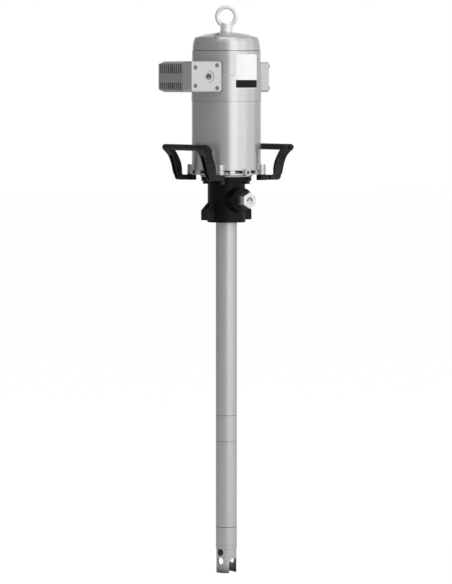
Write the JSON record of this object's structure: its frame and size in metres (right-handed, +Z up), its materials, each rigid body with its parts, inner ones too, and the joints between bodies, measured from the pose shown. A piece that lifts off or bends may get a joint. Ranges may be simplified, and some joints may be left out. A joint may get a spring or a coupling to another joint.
{
  "type": "pneumatic grease pump",
  "caption": "Drum grease pump: air motor with side valve block and lifting handles on a cast outlet body, above a long tube with a ball-valve pump and slotted inlet foot.",
  "frame": {"origin": "centre of the outlet body's underside, where the drum tube comes out", "axes": "+Z up along the pump's axis towards the lifting eye; -Y to the front, with the air inlet, label and grease outlet; -X to the valve block"},
  "size_m": [0.2327, 0.155, 1.1329],
  "materials": {
    "silver_casting": "silver-grey painted aluminium casting",
    "cylinder_paint": "silver-grey painted aluminium tube",
    "bright_block": "bead-blasted bright aluminium",
    "black_casting": "black painted iron casting",
    "black_handle": "black powder-coated aluminium",
    "black_grip": "fine-textured black plastic",
    "zinc_steel": "zinc-plated steel tube",
    "plated_steel": "bright zinc-plated steel",
    "screw_steel": "zinc-plated screws",
    "hard_steel": "hard-chromed rod",
    "bronze": "sintered bronze",
    "rubber": "black rubber",
    "packing": "braided packing",
    "gasket": "grey gasket sheet",
    "silencer_foam": "open-cell silencer pad",
    "label_film": "plain white label film with a black band"
  },
  "bodies": {
    "housing": {"lifting_eye": "plated_steel", "top_cap": "silver_casting", "cap_gasket": "gasket", "cap_screws": "screw_steel", "vent_plug": "screw_steel", "motor_head": "silver_casting", "head_seal": "rubber", "air_cylinder": "cylinder_paint", "flange_seal": "rubber", "lower_flange": "silver_casting", "drain_plug": "screw_steel", "rod_bushing": "bronze", "rod_seal": "rubber", "label_plate": "label_film", "valve_block": "silver_casting", "block_gasket": "gasket", "inlet_block": "bright_block", "inlet_screws": "screw_steel", "rear_plate": "silver_casting", "rear_screws": "screw_steel", "silencer_cover": "silver_casting", "silencer_screws": "screw_steel", "silencer_pad": "silencer_foam", "pilot_cover": "bright_block", "pilot_gasket": "gasket", "pilot_screws": "screw_steel", "left_handle": "black_handle", "right_handle": "black_handle", "left_grip": "black_grip", "right_grip": "black_grip", "handle_bolts": "screw_steel", "outlet_body": "black_casting", "body_screws": "screw_steel", "outlet_fitting": "plated_steel", "packing_rings": "packing", "gland_nut": "bronze", "down_tube": "zinc_steel", "coupling_sleeve": "zinc_steel", "joint_seals": "rubber", "pump_cylinder": "zinc_steel", "foot_valve_housing": "zinc_steel", "foot_valve_seat": "bronze", "ball_stop_pin": "screw_steel", "inlet_foot": "zinc_steel"},
    "plunger": {"air_piston": "bright_block", "piston_seal": "rubber", "piston_nut": "screw_steel", "piston_rod": "hard_steel", "rod_coupling": "screw_steel", "connecting_rod": "hard_steel", "pump_piston": "hard_steel", "piston_valve_seat": "bronze"},
    "spool": {"valve_spool": "hard_steel", "spool_seals": "rubber"},
    "trip": {"trip_rod": "hard_steel"},
    "piston_check": {"piston_ball": "hard_steel"},
    "foot_check": {"foot_ball": "hard_steel"}
  },
  "joints": [
    {"name": "pump_stroke", "type": "slide", "parent": "housing", "child": "plunger", "axis": [0, 0, 1], "range_m": [0, 0.1]},
    {"name": "spool_shift", "type": "slide", "parent": "housing", "child": "spool", "axis": [0, 1, 0], "range_m": [0, 0.008]},
    {"name": "trip_slide", "type": "slide", "parent": "housing", "child": "trip", "axis": [0, 0, 1], "range_m": [0, 0.006]},
    {"name": "piston_valve_lift", "type": "slide", "parent": "plunger", "child": "piston_check", "axis": [0, 0, 1], "range_m": [0, 0.005]},
    {"name": "foot_valve_lift", "type": "slide", "parent": "housing", "child": "foot_check", "axis": [0, 0, 1], "range_m": [0, 0.005]}
  ]
}
